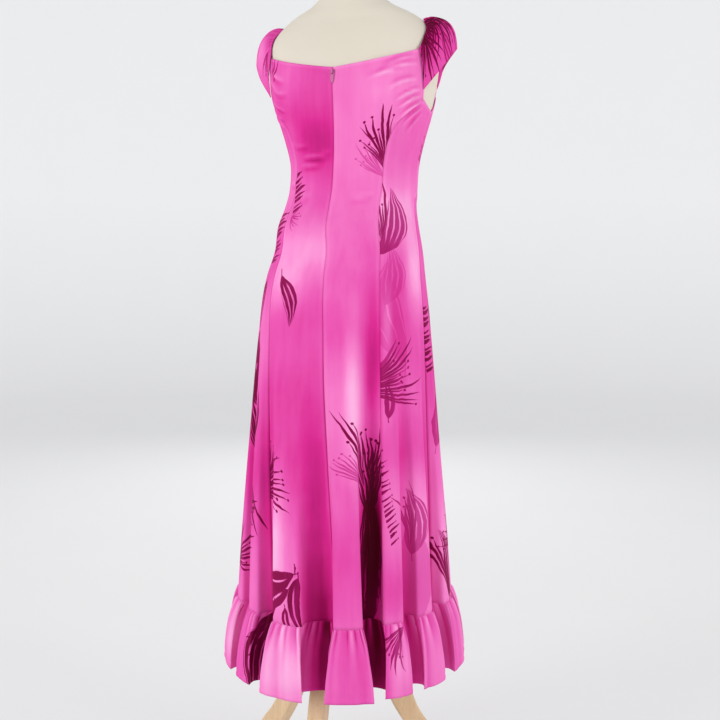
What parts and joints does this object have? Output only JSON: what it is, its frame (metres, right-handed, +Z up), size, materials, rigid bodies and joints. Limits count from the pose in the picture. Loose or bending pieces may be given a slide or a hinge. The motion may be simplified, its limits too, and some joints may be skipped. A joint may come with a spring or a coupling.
{
  "type": "hula dance dress on dress form",
  "caption": "Long hula dress with princess seams, a gathered hem ruffle and elasticated cap sleeves, worn by a limbless dress form on a three-legged wooden stand.",
  "frame": {"origin": "on the floor, under the middle of the whole object in plan", "axes": "+Z up; the dress's front faces -Y and its zipped back faces +Y; +X is towards the wearer's left"},
  "size_m": [0.4688, 0.4715, 1.5703],
  "materials": {
    "centre_back_right": "printed stretch velour, soft sheen",
    "side_back_right": "printed stretch velour, soft sheen",
    "side_front_right": "printed stretch velour, soft sheen",
    "centre_front": "printed stretch velour, soft sheen",
    "side_front_left": "printed stretch velour, soft sheen",
    "side_back_left": "printed stretch velour, soft sheen",
    "centre_back_left": "printed stretch velour, soft sheen",
    "ruffle_back": "printed stretch velour, soft sheen",
    "ruffle_front": "printed stretch velour, soft sheen",
    "sleeve_right": "printed stretch velour, soft sheen",
    "sleeve_left": "printed stretch velour, soft sheen",
    "zip_slider": "satin enamel",
    "zip_pull": "satin enamel",
    "form_torso": "plain linen, matt",
    "form_neck_cap": "satin lacquer",
    "stand_pole": "satin",
    "stand_hub": "satin lacquer",
    "stand_leg": "satin lacquer"
  },
  "bodies": {
    "dress_and_stand": {"centre_back_right": "centre_back_right", "side_back_right": "side_back_right", "side_front_right": "side_front_right", "centre_front": "centre_front", "side_front_left": "side_front_left", "side_back_left": "side_back_left", "centre_back_left": "centre_back_left", "ruffle_back": "ruffle_back", "ruffle_front": "ruffle_front", "sleeve_right": "sleeve_right", "sleeve_left": "sleeve_left", "zip_slider": "zip_slider", "form_torso": "form_torso", "form_neck_cap": "form_neck_cap", "stand_pole": "stand_pole", "stand_hub": "stand_hub", "stand_leg_1": "stand_leg", "stand_leg_2": "stand_leg", "stand_leg_3": "stand_leg"},
    "zip_pull_tab": {"zip_pull": "zip_pull"}
  },
  "joints": [
    {"name": "zip_pull_swing", "type": "hinge", "parent": "dress_and_stand", "child": "zip_pull_tab", "pos_m": [-0.0095, 0.0711, 1.3607], "axis": [1, 0, 0], "range_deg": [0, 150]}
  ]
}
